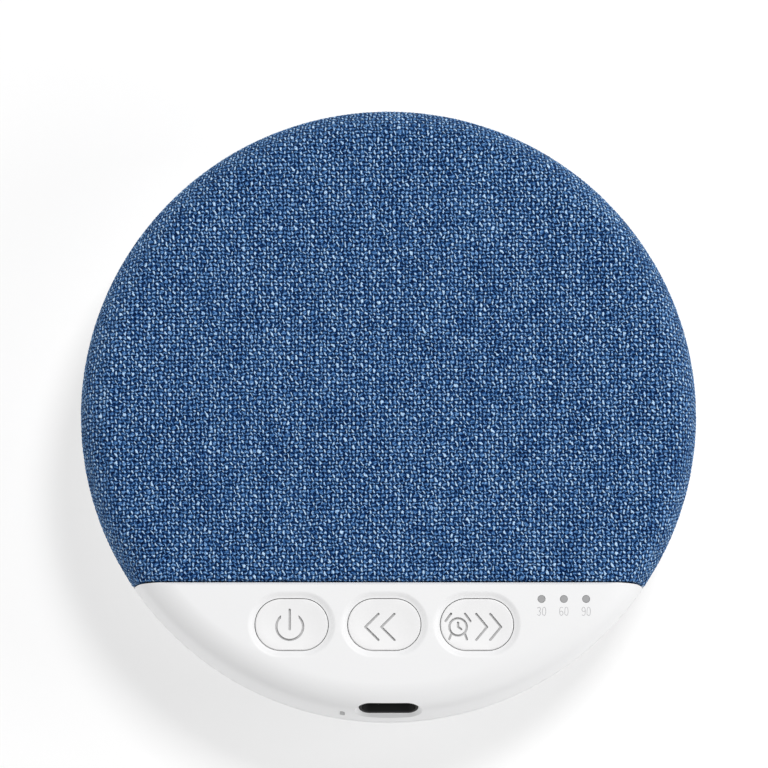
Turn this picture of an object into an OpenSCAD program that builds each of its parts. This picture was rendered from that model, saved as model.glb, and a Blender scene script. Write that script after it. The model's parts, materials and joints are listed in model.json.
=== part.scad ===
// Round pillow speaker that lies on its back: woven cloth over the front, a white control
// panel along the lower edge and a charging socket in the rim.
// Origin: centre of the rubber ring's lower face. +Z points out of the cloth, -Y to the socket.

/* [Body] */
// Diameter of the body at its widest circle
body_d = 95; // [92:1:110]
// Height of the body from its back face to its front face
body_t = 21.2; // [20.4:0.1:26]
// Depth of the widest circle below the front face
front_depth = 8.5; // [8.2:0.1:9.5]
// Radius of the side arc in front of the widest circle
front_side_r = 20; // [16:0.5:24]
// Radius of the corner arc at the front face
front_corner_r = 4.5; // [4.4:0.1:5]
// Radius of the side arc behind the widest circle
rear_side_r = 28; // [24:1:34]
// Radius of the corner arc at the back face
rear_corner_r = 6; // [5:0.1:7]
// Wall of the control panel
front_wall = 1.8; // [1.5:0.1:2]
// Wall of the rear shell
rear_wall = 2.2; // [2:0.1:2.5]
// Gap of the seam between the front and the rear
seam_gap = 0.25; // [0.1:0.05:0.4]

/* [Cloth and grille] */
// Height of the control panel from the cloth's straight edge to the lower rim
panel_h = 20.6; // [20:0.1:22]
// Gap between the cloth's straight edge and the panel
line_gap = 0.3; // [0.2:0.05:0.5]
// Bevel on the panel's edge along that gap
line_bevel = 0.35; // [0.2:0.05:0.5]
// Thickness of the cloth
fabric_t = 0.8; // [0.5:0.1:1]
// Layer of glue between flat or curved pieces
glue_gap = 0.05; // [0.03:0.01:0.08]
// Thickness of the grille panel
grille_t = 1.5; // [1.2:0.1:1.6]
// Diameter of a hole in the grille
grille_hole_d = 2.6; // [1.8:0.1:3]
// Distance between neighbouring holes in the grille
grille_pitch = 4.4; // [4:0.1:6]
// Diameter of a stake that holds the grille
stake_d = 2.4; // [2:0.1:3]

/* [Front shell] */
// Clearance between the grille and the front shell's skirt
skirt_gap = 0.3; // [0.2:0.05:0.5]
// Wall of the skirt and of the lip inside the rear shell
skirt_t = 1.6; // [1.2:0.1:2]
// Length of the lip that reaches into the rear shell
lip_h = 2; // [1:0.1:3]
// Depth of the baffle's top face below the front face
baffle_depth = 3.6; // [3.4:0.1:4]
// Thickness of the baffle
baffle_t = 1.6; // [1.4:0.1:1.8]
// Wall of the step between the baffle and the panel
step_t = 1.6; // [1.2:0.1:2]

/* [Buttons] */
// Length of a button
button_w = 11.2; // [10:0.1:12]
// Width of a button
button_h = 7.95; // [7:0.05:8.2]
// Gap between neighbouring buttons
button_space = 3; // [2.9:0.1:3.4]
// Distance of the middle button from the centre line
button_shift = -0.65; // [-1:0.05:1]
// Distance of the button row from the cloth's straight edge
button_drop = 6.5; // [6.2:0.1:6.8]
// Gap round a button
button_gap = 0.1; // [0.08:0.01:0.2]
// Width of the dish round a button
dish_w = 1.2; // [0.8:0.05:1.4]
// Depth of the dish round a button
dish_depth = 0.4; // [0.2:0.05:0.6]
// Depth of the hollow in a button's top
button_hollow = 0.22; // [0.1:0.02:0.3]
// Rounding of the edge of a button's top
button_edge = 0.2; // [0.1:0.05:0.35]
// Width of the rim that keeps a button behind the panel
flange_w = 0.7; // [0.5:0.05:0.8]
// Thickness of that rim
flange_t = 0.8; // [0.6:0.05:0.9]
// Travel of a button
button_travel = 0.4; // [0.2:0.05:0.45]
// Width of the line of an engraved sign
sign_line = 0.36; // [0.25:0.02:0.45]
// Depth of an engraved sign
sign_depth = 0.3; // [0.1:0.02:0.36]

/* [Board] */
// Depth of the board's top face below the front face
board_depth = 5.8; // [5.6:0.1:6]
// Thickness of the board
board_t = 1.2; // [1:0.1:1.3]
// Half width of the board
board_half_w = 36; // [32:1:38]
// Distance that the board reaches past the cloth's straight edge
board_over = 8.9; // [8:0.1:9]
// Side of a tact switch
switch_w = 4.6; // [4:0.1:5]
// Height of a tact switch without its plunger
switch_h = 1.7; // [1.5:0.05:1.8]
// Diameter of a switch plunger
plunger_d = 2; // [1.6:0.1:2.4]
// Diameter of a timer lamp's dot
lamp_d = 1.1; // [0.8:0.1:1.4]
// Distance between timer lamps
lamp_pitch = 3.42; // [3:0.01:3.6]
// Distance of the first timer lamp from the end of the button row
lamp_space = 4.3; // [4:0.1:5]
// Distance of the timer lamps from the cloth's straight edge
lamp_drop = 2.6; // [2.4:0.1:3]

/* [Charging socket] */
// Width of the socket's metal shell
usb_w = 8.94; // [8.94:0.01:8.96]
// Height of the socket's metal shell
usb_h = 3.16; // [3.1:0.02:3.26]
// Length of the socket's metal shell
usb_len = 6.2; // [6:0.1:6.3]
// Wall of the socket's metal shell
usb_wall = 0.3; // [0.2:0.05:0.35]
// Height of the socket's feet on the board
usb_stand = 1.1; // [0.9:0.1:1.2]
// Distance of the metal shell's mouth behind the rim
usb_set = 2.7; // [2.6:0.1:2.8]
// Depth of the collar's face below the rim's surface
collar_set = 0.55; // [0.45:0.05:0.6]
// Bevel of the slot's mouth
usb_flare = 0.6; // [0.5:0.05:0.65]
// Clearance of the slot round the socket
usb_gap = 0.12; // [0.08:0.02:0.2]
// Width of the charge light pipe
charge_w = 0.7; // [0.5:0.1:1]
// Height of the charge light pipe
charge_h = 1.8; // [1.4:0.1:2]
// Distance of the charge light pipe from the centre line
charge_x = -7.1; // [-8:0.1:-6.5]

/* [Loudspeaker] */
// Free room between the loudspeaker's flange and the front shell's skirt
driver_room = 9.1; // [8:0.1:12]
// Gap between the loudspeaker's flange and the board
driver_set = 0.5; // [0.3:0.1:1]
// Width of the flange outside the surround
flange_rim = 4.5; // [4.3:0.1:5]
// Travel of the cone each way
cone_travel = 0.6; // [0.3:0.1:0.8]
// Height of the magnet
magnet_h = 3; // [2.5:0.1:3.4]
// Thickness of the yoke's plate and of the top plate
plate_t = 1.5; // [1.2:0.1:1.6]
// Thickness of the gasket
gasket_t = 0.5; // [0.3:0.1:0.7]

/* [Battery] */
// Length of the battery cell
battery_l = 40; // [34:1:41]
// Width of the battery cell
battery_w = 20; // [16:0.5:20.5]
// Thickness of the battery cell
battery_t = 5; // [4:0.1:6]
// Thickness of the foam pad under it
pad_t = 0.5; // [0.3:0.1:0.8]

/* [Rubber ring and screws] */
// Height that the rubber ring stands out of the back
foot_rise = 0.8; // [0.6:0.1:1.2]
// Depth that the rubber ring is let into the back
foot_inset = 0.8; // [0.5:0.1:1]
// Width of the rubber ring
ring_w = 7; // [6.6:0.1:8]
// Distance of the case screws from the rim
screw_inset = 12.5; // [12.2:0.1:13]
// Diameter of a case screw
case_screw_d = 2.5; // [2:0.1:2.8]
// Diameter of a board or loudspeaker screw
small_screw_d = 2; // [1.6:0.1:2.2]
// Clearance round a screw
screw_gap = 0.05; // [0.03:0.01:0.1]

/* [Hidden] */
$fn = 96;

// Overshoot of a cut past the face that it opens
cut = 1;

// Heights above the surface that the speaker lies on
back_z = foot_rise;
front_z = back_z + body_t;
wide_z = front_z - front_depth;
front_rise = front_depth - front_corner_r;
front_shift = sqrt(pow(front_side_r - front_corner_r, 2) - pow(front_rise, 2));
floor_z = back_z + rear_wall;
panel_in_z = front_z - front_wall;
baffle_z1 = front_z - baffle_depth;
baffle_z0 = baffle_z1 - baffle_t;
board_z1 = front_z - board_depth;
board_z0 = board_z1 - board_t;
flange_z1 = baffle_z0 - gasket_t;

// Places across the body
body_r = body_d / 2;
far = 2 * body_d;
line_y = panel_h - body_r;
button_y = line_y - button_drop;
button_pitch = button_w + button_space;
button_xs = [for (i = [-1:1]) button_shift + i * button_pitch];
row_end = button_pitch + button_w / 2;
lamp_y = line_y - lamp_drop;
lamp_x = button_shift + row_end + lamp_space + lamp_pitch;
lamp_xs = [for (i = [-1:1]) lamp_x + i * lamp_pitch];
board_top_y = line_y + board_over;

// Insets of the curved layers from the outside of the body
grille_out = fabric_t + glue_gap;
grille_in = grille_out + grille_t;
skirt_out = grille_in + skirt_gap;
skirt_in = skirt_out + skirt_t;
board_gap = 0.3;
board_r = front_r(skirt_in, board_z1) - board_gap;

// Loudspeaker in the room between the board and the far side of the skirt
flange_r = (front_r(skirt_in, baffle_z0) - driver_room - board_top_y - driver_set) / 2;
driver_y = board_top_y + driver_set + flange_r;
surround_r = flange_r - flange_rim;
surround_rim = 0.9;
roll_out = 1.8;
roll_r = surround_r - surround_rim - roll_out;
cone_lap = 0.1;
cone_r = roll_r - roll_out + cone_lap;
magnet_r = flange_r * 0.53;
pole_r = flange_r * 0.255;

// Screws, bosses and posts
screw_r = body_r - screw_inset;
case_places = [for (a = [50, 130, 197, 343]) screw_r * [cos(a), sin(a)]];
case_head_d = 4.4;
case_head_h = 1.6;
case_seat_rise = 1.4;
case_seat_t = 5.1;
case_seat_z = floor_z + case_seat_rise;
case_post_z = case_seat_z + case_seat_t;
case_screw_l = 9;
post_r = 3.6;
boss_r = 3;
head_gap = 0.4;
tip_gap = 0.4;
small_head_d = 3.6;
small_head_h = 1.2;
small_boss_r = 1.9;
boss_gap = 0.3;
guide_bar = [2 * lamp_pitch + 2, 1.4];
board_screw_x = row_end + abs(button_shift) + flange_w + small_boss_r + boss_gap;
board_screw_y = lamp_y - guide_bar[1] / 2 - small_boss_r - boss_gap;
board_inner_x = -12;
board_inner_rise = 5.9;
board_places = [[-board_screw_x, board_screw_y], [board_screw_x, board_screw_y],
  [board_inner_x, line_y + board_inner_rise]];
board_bite = 2.2;
board_screw_l = board_t + board_bite;
driver_screw_in = 2.1;
driver_screw_r = flange_r - driver_screw_in;
driver_angles = [45, 135, 225, 315];
driver_screw_l = 3.6;
boss_top_z = front_z - grille_in - glue_gap;
stake_gap = 0.1;
stake_out = 5.5;
stake_x = 20;
stake_rise = 4.4;
stake_places = [for (side = [-1, 1]) each
  [[side * (flange_r + stake_out), driver_y], [side * stake_x, line_y + stake_rise]]];

// Button and switch heights at rest
cap_rim_z = front_z - dish_depth;
cap_top_z = cap_rim_z - button_hollow;
flange_top_z = panel_in_z - glue_gap;
flange_bottom_z = flange_top_z - flange_t;
switch_z = board_z1 + switch_h;
switch_floor = 0.3;
plunger_gap = 0.1;
press_left = 0.2;
plunger_z = switch_z + button_travel + press_left;
plunger_foot_z = board_z1 + switch_floor + button_travel + plunger_gap;
button_run = button_w - button_h;
stem_d = plunger_d + 0.4;

// Socket place
usb_z = board_z1 + usb_stand + usb_h / 2;
usb_mouth_y = usb_set - body_r;
usb_run = usb_w - usb_h;
usb_foot = [1, 1.4];
usb_slot_r = usb_h / 2 + usb_gap;

// Mouth of the socket's slot, which slopes with the rim
usb_top_r = corner_r(usb_z + usb_slot_r);
usb_low_r = front_r(0, usb_z - usb_slot_r);
usb_tilt = atan2(usb_low_r - usb_top_r, 2 * usb_slot_r);
usb_face_y = -(usb_top_r + usb_low_r) / 2;
usb_mouth_r = usb_slot_r / cos(usb_tilt);
usb_mouth_run = usb_w + 2 * usb_gap - 2 * usb_mouth_r;

// Lamps on the board and the light guides over them
lamp_size = [1.6, 0.8];
lamp_h = 0.7;
lamp_gap = 0.3;
guide_bar_t = 1;
guide_bar_drop = 1.8;
guide_bar_z = panel_in_z - guide_bar_drop;
charge_z = board_z1 + lamp_gap / 2 + charge_h / 2;
charge_lamp_in = 1.8;
charge_lamp_y = charge_lamp_in - board_r;
charge_end_y = charge_lamp_y - lamp_size[1] / 2 - lamp_gap;

// Loudspeaker heights, from the flange down to the yoke, and its thin parts
driver_gap = 0.2;
basket_depth = 5.7;
basket_z = flange_z1 - basket_depth;
sheet_t = 0.7;
plate_step = 0.9;
flange_t_driver = 1;
paper_t = 0.4;
coil_gap = 0.25;
coil_t = 0.45;
coil_r = pole_r + coil_gap;
plate_hole_r = coil_r + coil_t + coil_gap;
plate_z = basket_z - plate_t;
magnet_z = plate_z - magnet_h;
yoke_z = magnet_z - plate_t;
throat_r = coil_r + coil_t + glue_gap;
throat_rise = 2;
throat_z = basket_z + throat_rise;
rim_w = 1.4;
rim_z = flange_z1 - glue_gap - paper_t;
ledge_rise = 1;
ledge_z = basket_z + ledge_rise;
ledge_r = flange_r * 0.494;
ledge_w = 1.6;
wall_r = ledge_r + ledge_w;
wall_top_r = surround_r - driver_gap / 2;
spider_rise = 0.5;
spider_z = ledge_z + spider_rise;
spider_t = 0.25;
under_z = flange_z1 - flange_t_driver;
terminal_size = [10, flange_r - wall_top_r - 4 * driver_gap];
terminal_t = 1.1;
terminal_y = driver_y - (wall_top_r + flange_r) / 2;

// Pieces on the board's lower face: place, size and height
main_chip_drop = 4;
main_chip_place = [-9, line_y - main_chip_drop];
main_chip_size = [7, 7];
main_chip_h = 1;
amplifier_x = 9;
amplifier_place = [amplifier_x, line_y - 1];
amplifier_size = [4, 5];
amplifier_h = 1.2;
capacitor_x = 4;
capacitor_pitch = 3.4;
capacitor_drop = 9;
capacitor_xs = [for (i = [0:2]) capacitor_x + capacitor_pitch * i];
capacitor_y = line_y - capacitor_drop;
capacitor_size = [2, 3.2];
capacitor_h = 1.6;
battery_connector_out = 7;
battery_connector_rise = 2.8;
battery_connector_place = [battery_l / 2 + battery_connector_out, line_y + battery_connector_rise];
speaker_connector_rise = 4.3;
speaker_connector_place = [0, line_y + speaker_connector_rise];
connector_size = [6, 4];
connector_h = 3;
connector_z = board_z0 - connector_h / 2;

// Battery place
battery_y = line_y + 0.9;
battery_z = floor_z + pad_t;
pad_inset = 3.5;
rib_t = 1.2;
rib_h = 3;
rib_gap = 0.3;
rib_foot_z = floor_z - rear_wall / 4;
long_rib = battery_l / 2;
short_rib = battery_w / 3;
short_rib_y = battery_y - battery_w / 5;

// Wires: points chosen by hand, from the end that each leaves to the connector that it reaches
wire_d = 1;
wire_sides = 8;
wire_space = 1.1;
cell_end_x = battery_l / 2;
cell_mid_z = battery_z + battery_t / 2;
plug_x = battery_connector_place[0] - connector_size[1] / 2;
battery_wire = [[cell_end_x, cell_mid_z], [cell_end_x + 1.4, cell_mid_z],
  [cell_end_x + 2.6, cell_mid_z + 0.8], [cell_end_x + 3, cell_mid_z + 2.4],
  [cell_end_x + 3, connector_z - 3.1], [cell_end_x + 3.2, connector_z - 1.3],
  [plug_x - 1, connector_z], [plug_x, connector_z]];
battery_wire_ys = [for (side = [1, -1]) battery_connector_place[1] + side * wire_space];
terminal_z = under_z - terminal_t;
plug_y = speaker_connector_place[1] + connector_size[1] / 2;
speaker_wire = [[terminal_y, terminal_z], [terminal_y, terminal_z - 1.4],
  [terminal_y - 0.6, terminal_z - 2.8], [terminal_y - 2, terminal_z - 3.4],
  [plug_y + 2, connector_z - 2.3], [plug_y + 1.3, connector_z - 1.1],
  [plug_y + 0.8, connector_z], [plug_y, connector_z]];
speaker_wire_xs = [wire_space, -wire_space];

// Radius of the front at a height on its side arc, set in from the outside
function front_r(inset, z) =
  body_r - front_side_r + sqrt(pow(front_side_r - inset, 2) - pow(z - wide_z, 2));

// Radius of the body's outside at a height on the front's corner arc
function corner_r(z) = body_r - front_side_r + front_shift
  + sqrt(pow(front_corner_r, 2) - pow(z - wide_z - front_rise, 2));

// Points along an arc, without its first one
arc_steps = 9;
function arc(centre, r, from, to) = [for (i = [1:arc_steps])
  centre + r * [cos(from + (to - from) * i / arc_steps), sin(from + (to - from) * i / arc_steps)]];

// Half section of the body on one side of its widest circle, set in from the outside:
// the side arc starts upright at the widest circle and runs smoothly into the corner arc
module half_section(side_r, corner_r, depth, inset) {
  rise = depth - corner_r;
  shift = sqrt(pow(side_r - corner_r, 2) - pow(rise, 2));
  turn = atan2(rise, shift);
  side_x = body_r - side_r;
  polygon(concat([[0, 0], [body_r - inset, 0]], arc([side_x, 0], side_r - inset, 0, turn),
    arc([side_x + shift, rise], corner_r - inset, turn, 90), [[0, depth - inset]]));
}

// Front of the body, set in from the outside
module front_form(inset) {
  translate([0, 0, wide_z]) rotate_extrude()
    half_section(front_side_r, front_corner_r, front_depth, inset);
}

// Back of the body, set in from the outside
module rear_form(inset) {
  translate([0, 0, wide_z]) mirror([0, 0, 1]) rotate_extrude()
    half_section(rear_side_r, rear_corner_r, body_t - front_depth, inset);
}

// Block on the cloth's side of a straight line, between two heights
module cloth_side(y, z0, z1) {
  translate([-far / 2, y, z0]) cube([far, far, z1 - z0]);
}

// Block on the panel's side of a straight line, between two heights
module panel_side(y, z0, z1) {
  translate([-far / 2, y - far, z0]) cube([far, far, z1 - z0]);
}

// Flat ring between two heights
module ring(r0, r1, z0, z1) {
  rotate_extrude() translate([r0, z0]) square([r1 - r0, z1 - z0]);
}

// Upright cylinder between two heights
module post(place, r, z0, z1) {
  translate([place[0], place[1], z0]) cylinder(r = r, h = z1 - z0);
}

// Block with its middle at a place, between two heights
module block(place, size, z0, z1) {
  translate([place[0] - size[0] / 2, place[1] - size[1] / 2, z0]) cube([size[0], size[1], z1 - z0]);
}

// Outline with two round ends
module stadium(w, h) {
  square([w - h, h], center = true);
  for (side = [-1, 1]) translate([side * (w - h) / 2, 0]) circle(h / 2);
}

// Half section carried round a straight run with two round ends
module round_run(run) {
  for (side = [-1, 1]) translate([side * run / 2, 0, 0]) rotate(-90 * side)
    rotate_extrude(angle = 180) children();
  rotate([90, 0, 90]) linear_extrude(run, center = true) {
    children();
    mirror([1, 0]) children();
  }
}

// Screw with its head below and its shank upwards
module screw(place, d, length, head_d, head_h, z) {
  post(place, head_d / 2, z - head_h, z);
  post(place, d / 2, z, z + length);
}

// Place on the loudspeaker's circle of screws
function driver_place(a) = [driver_screw_r * cos(a), driver_y + driver_screw_r * sin(a)];

// Round wire along a list of points
function unit(v) = v / norm(v);
function wire_ring(p, along, out) = [for (i = [0:wire_sides - 1])
  p + wire_d / 2 * (cos(360 * i / wire_sides) * out + sin(360 * i / wire_sides) * cross(along, out))];
module wire(route, out) {
  last = len(route) - 1;
  rings = [for (i = [0:last])
    wire_ring(route[i], unit(route[min(i + 1, last)] - route[max(i - 1, 0)]), out)];
  points = [for (r = rings) each r];
  n = wire_sides;
  sides = [for (i = [0:last - 1], k = [0:n - 1]) each
    let (a = i * n + k, b = i * n + (k + 1) % n) [[a, b, b + n], [a, b + n, a + n]]];
  ends = [for (k = [1:n - 2]) each
    [[0, k + 1, k], [last * n, last * n + k, last * n + k + 1]]];
  polyhedron(points, concat(sides, ends));
}

// Opening of one button with the dish round it, which runs out smoothly at both ends of its slope
module button_opening(x) {
  hole_r = button_h / 2 + button_gap;
  slope_w = dish_w - button_gap;
  slope = [for (i = [0:arc_steps]) [hole_r + slope_w * i / arc_steps,
    cap_rim_z + dish_depth * (1 - cos(180 * i / arc_steps)) / 2]];
  translate([x, button_y, 0]) {
    translate([0, 0, panel_in_z - cut]) linear_extrude(front_wall + 2 * cut)
      stadium(button_run + 2 * hole_r, 2 * hole_r);
    round_run(button_run) polygon(concat([[0, cap_rim_z]], slope,
      [[hole_r + slope_w, front_z + cut], [0, front_z + cut]]));
  }
}

// Button cap without its sign
module button_cap(x) {
  r = button_h / 2;
  top_r = r - button_edge;
  hollow_r = (top_r * top_r + button_hollow * button_hollow) / (2 * button_hollow);
  translate([x, button_y, 0]) {
    round_run(button_run) difference() {
      union() {
        translate([0, flange_bottom_z]) square([r + flange_w, flange_t]);
        polygon(concat([[0, flange_bottom_z], [r, flange_bottom_z], [r, cap_rim_z - button_edge]],
          arc([top_r, cap_rim_z - button_edge], button_edge, 0, 90), [[0, cap_rim_z]]));
      }
      translate([0, cap_top_z + hollow_r]) circle(hollow_r);
    }
    translate([0, 0, plunger_z]) cylinder(d = stem_d, h = flange_bottom_z - plunger_z + flange_t / 2);
  }
}

// Straight stroke of a sign between two points
module stroke(a, b) {
  for (p = [a, b]) translate(p) circle(d = sign_line);
  translate(a) rotate(atan2(b[1] - a[1], b[0] - a[0])) translate([0, -sign_line / 2])
    square([norm(b - a), sign_line]);
}

// Round stroke of a sign
module round_stroke(r) {
  difference() {
    circle(r + sign_line / 2);
    circle(r - sign_line / 2);
  }
}

// Pointed stroke whose arms reach to the side by the length given
module chevron(x, reach) {
  rise = 2;
  stroke([x, 0], [x + reach, rise]);
  stroke([x, 0], [x + reach, -rise]);
}

// Sign cut into a button's top
module engraved(x) {
  difference() {
    button_cap(x);
    translate([x, button_y, cap_top_z - sign_depth])
      linear_extrude(button_hollow + sign_depth + cut) children();
  }
}

module rear_shell() {
  color("white") difference() {
    union() {
      difference() {
        rear_form(0);
        rear_form(rear_wall);
      }
      for (p = case_places) post(p, post_r, rib_foot_z, case_post_z);
      for (side = [-1, 1]) {
        block([0, battery_y + side * (battery_w / 2 + rib_gap + rib_t / 2)],
          [long_rib, rib_t], rib_foot_z, floor_z + rib_h);
        block([side * (battery_l / 2 + rib_gap + rib_t / 2), short_rib_y],
          [rib_t, short_rib], rib_foot_z, floor_z + rib_h);
      }
    }
    ring(screw_r - ring_w / 2 - glue_gap, screw_r + ring_w / 2 + glue_gap, back_z - cut,
      back_z + foot_inset + glue_gap);
    for (p = case_places) {
      post(p, case_head_d / 2 + head_gap, back_z, case_seat_z);
      post(p, case_screw_d / 2 + screw_gap, case_seat_z - cut, case_post_z + cut);
    }
  }
}

module front_shell() {
  color("white") difference() {
    union() {
      difference() {
        intersection() {
          front_form(0);
          panel_side(line_y, wide_z + seam_gap, front_z + cut);
        }
        front_form(front_wall);
      }
      intersection() {
        front_form(front_wall / 2);
        translate([-far / 2, line_y - step_t, baffle_z0])
          cube([far, step_t - line_bevel / 2, baffle_depth + baffle_t]);
      }
      intersection() {
        front_form(skirt_out);
        cloth_side(line_y - step_t, baffle_z0, baffle_z1);
      }
      difference() {
        intersection() {
          front_form(skirt_out);
          cloth_side(line_y - step_t, wide_z, baffle_z1);
        }
        front_form(skirt_in);
      }
      ring(body_r - skirt_in, body_r - skirt_out, wide_z - lip_h, board_z0 - board_gap);
      intersection() {
        ring(body_r - skirt_in, body_r - front_wall / 2, wide_z + seam_gap, board_z0 - board_gap);
        panel_side(line_y, wide_z, board_z0);
      }
      for (p = case_places) post(p, boss_r, case_post_z + glue_gap, baffle_z1 - baffle_t / 2);
      for (p = board_places)
        post(p, small_boss_r, board_z1, p[1] > line_y ? boss_top_z : panel_in_z + front_wall / 4);
      for (a = driver_angles) post(driver_place(a), small_boss_r, baffle_z0 + baffle_t / 4, boss_top_z);
    }
    post([0, driver_y], surround_r + driver_gap, baffle_z0 - cut, front_z);
    for (p = case_places)
      post(p, case_screw_d / 2 + screw_gap, case_post_z - cut, case_seat_z + case_screw_l + tip_gap);
    for (p = board_places)
      post(p, small_screw_d / 2 + screw_gap, board_z1 - cut, board_z0 + board_screw_l + tip_gap);
    for (a = driver_angles)
      post(driver_place(a), small_screw_d / 2 + screw_gap, baffle_z0 - cut,
        under_z + driver_screw_l + tip_gap);
    for (p = stake_places) post(p, stake_d / 2 + stake_gap, baffle_z0 - cut, baffle_z1 + cut);
    for (x = button_xs) button_opening(x);
    for (x = lamp_xs) post([x, lamp_y], lamp_d / 2 + glue_gap, guide_bar_z, front_z + cut);
    block([lamp_x, lamp_y], guide_bar + 2 * glue_gap * [1, 1], board_z1,
      guide_bar_z + guide_bar_t + glue_gap);
    translate([0, usb_mouth_y + usb_len, usb_z]) rotate([90, 0, 0]) linear_extrude(far)
      stadium(usb_w + 2 * usb_gap, usb_h + 2 * usb_gap);
    translate([0, usb_face_y, usb_z]) rotate([90 - usb_tilt, 0, 0])
      round_run(usb_mouth_run) polygon([[0, -usb_flare], [usb_mouth_r, -usb_flare],
        [usb_mouth_r + 2 * usb_flare, usb_flare], [0, usb_flare]]);
    charge_bar(glue_gap);
    translate([0, line_y, front_z]) rotate([45, 0, 0])
      cube([far, sqrt(2) * line_bevel, sqrt(2) * line_bevel], center = true);
  }
}

// Rows of grille holes over the loudspeaker, each row shifted by half a hole
module grille_holes() {
  rows = floor((surround_r - grille_hole_d / 2) / (grille_pitch * sin(60)));
  for (row = [-rows:rows], i = [-rows - 1:rows + 1]) {
    x = (i + (row % 2 == 0 ? 0 : 0.5)) * grille_pitch;
    y = row * grille_pitch * sin(60);
    if (norm([x, y]) < surround_r - grille_hole_d / 2)
      post([x, driver_y + y], grille_hole_d / 2, boss_top_z - cut, front_z);
  }
}

module grille_panel() {
  color("dimgray") {
    difference() {
      intersection() {
        front_form(grille_out);
        cloth_side(line_y + line_gap + fabric_t + glue_gap,
          wide_z + seam_gap + fabric_t + glue_gap, front_z);
      }
      front_form(grille_in);
      grille_holes();
    }
    for (p = stake_places) post(p, stake_d / 2, baffle_z0 + stake_gap, front_z - grille_in + grille_t / 2);
  }
}

module fabric_cover() {
  color("steelblue") difference() {
    intersection() {
      front_form(0);
      cloth_side(line_y + line_gap, wide_z + seam_gap, front_z + cut);
    }
    intersection() {
      front_form(fabric_t);
      cloth_side(line_y + line_gap + fabric_t, wide_z + seam_gap + fabric_t, front_z);
    }
    front_form(grille_in);
  }
}

module rubber_ring() {
  edge = 0.3;
  r0 = screw_r - ring_w / 2;
  r1 = screw_r + ring_w / 2;
  top = foot_rise + foot_inset;
  color("gray") rotate_extrude() polygon([[r0 + edge, 0], [r1 - edge, 0], [r1, edge], [r1, top],
    [r0, top], [r0, edge]]);
}

module case_screws() {
  color("silver") for (p = case_places)
    screw(p, case_screw_d, case_screw_l, case_head_d, case_head_h, case_seat_z);
}

module power_button() {
  r = 2.05;
  half_gap = 1.35;
  gap_y = 1.23;
  foot = -0.4;
  top = 2.6;
  color("white") engraved(button_xs[0]) translate([-0.3, -0.3]) {
    difference() {
      round_stroke(r);
      translate([-half_gap, gap_y]) square([2 * half_gap, r]);
    }
    stroke([0, foot], [0, top]);
  }
}

module previous_button() {
  color("white") engraved(button_xs[1]) translate([0, -0.35]) {
    chevron(-2.9, 2);
    chevron(-0.45, 2);
  }
}

module next_button() {
  clock_r = 1.33;
  color("white") engraved(button_xs[2]) translate([0, -0.35]) {
    chevron(1.55, -1.65);
    chevron(3.7, -1.65);
    translate([-2.9, 0]) {
      round_stroke(clock_r);
      stroke([0, 0.65], [0, 0]);
      stroke([0, 0], [0.5, -0.35]);
      for (side = [-1, 1]) {
        stroke([side * 1.08, 2.03], [side * 1.9, 0.9]);
        stroke([side * 1.05, -1.1], [side * 1.35, -1.9]);
      }
    }
  }
}

module plunger(x) {
  color("dimgray") post([x, button_y], plunger_d / 2, plunger_foot_z, plunger_z);
}
module power_plunger() plunger(button_xs[0]);
module previous_plunger() plunger(button_xs[1]);
module next_plunger() plunger(button_xs[2]);

module tact_switch(x) {
  color("silver") difference() {
    block([x, button_y], [switch_w, switch_w], board_z1, switch_z);
    post([x, button_y], plunger_d / 2 + plunger_gap, board_z1 + switch_floor, switch_z + cut);
  }
}
module power_switch() tact_switch(button_xs[0]);
module previous_switch() tact_switch(button_xs[1]);
module next_switch() tact_switch(button_xs[2]);

module timer_light_guide() {
  color("gray") intersection() {
    front_form(0);
    union() {
      for (x = lamp_xs) post([x, lamp_y], lamp_d / 2, board_z1 + lamp_h + lamp_gap, front_z);
      block([lamp_x, lamp_y], guide_bar, guide_bar_z, guide_bar_z + guide_bar_t);
    }
  }
}

module timer_lamps() {
  color("lightyellow") for (x = lamp_xs) block([x, lamp_y], lamp_size, board_z1, board_z1 + lamp_h);
}

// Upright bar from the charge lamp out through the rim, with room round it
module charge_bar(room) {
  translate([charge_x, charge_end_y, charge_z]) rotate([90, 90, 0])
    linear_extrude(far) stadium(charge_h + 2 * room, charge_w + 2 * room);
}

module charge_light_pipe() {
  color("gray") intersection() {
    front_form(0);
    charge_bar(0);
  }
}

module charge_lamp() {
  color("lightyellow") block([charge_x, charge_lamp_y], lamp_size, board_z1, charge_z + charge_h / 2);
}

module circuit_board() {
  color("darkgreen") difference() {
    intersection() {
      post([0, 0], board_r, board_z0, board_z1);
      translate([-board_half_w, board_top_y - far, board_z0]) cube([2 * board_half_w, far, board_t]);
    }
    for (p = board_places) post(p, small_screw_d / 2 + screw_gap, board_z0 - cut, board_z1 + cut);
  }
}

module board_screws() {
  color("silver") for (p = board_places)
    screw(p, small_screw_d, board_screw_l, small_head_d, small_head_h, board_z0);
}

module usb_shell() {
  color("lightgray") {
    translate([0, usb_mouth_y + usb_len, usb_z]) rotate([90, 0, 0])
      linear_extrude(usb_len) difference() {
        stadium(usb_w, usb_h);
        stadium(usb_w - 2 * usb_wall, usb_h - 2 * usb_wall);
      }
    for (side = [-1, 1]) block([side * usb_run / 2, usb_mouth_y + usb_len - usb_foot[1]], usb_foot,
      board_z1, usb_z - usb_h / 2 + usb_wall / 2);
  }
}

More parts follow.
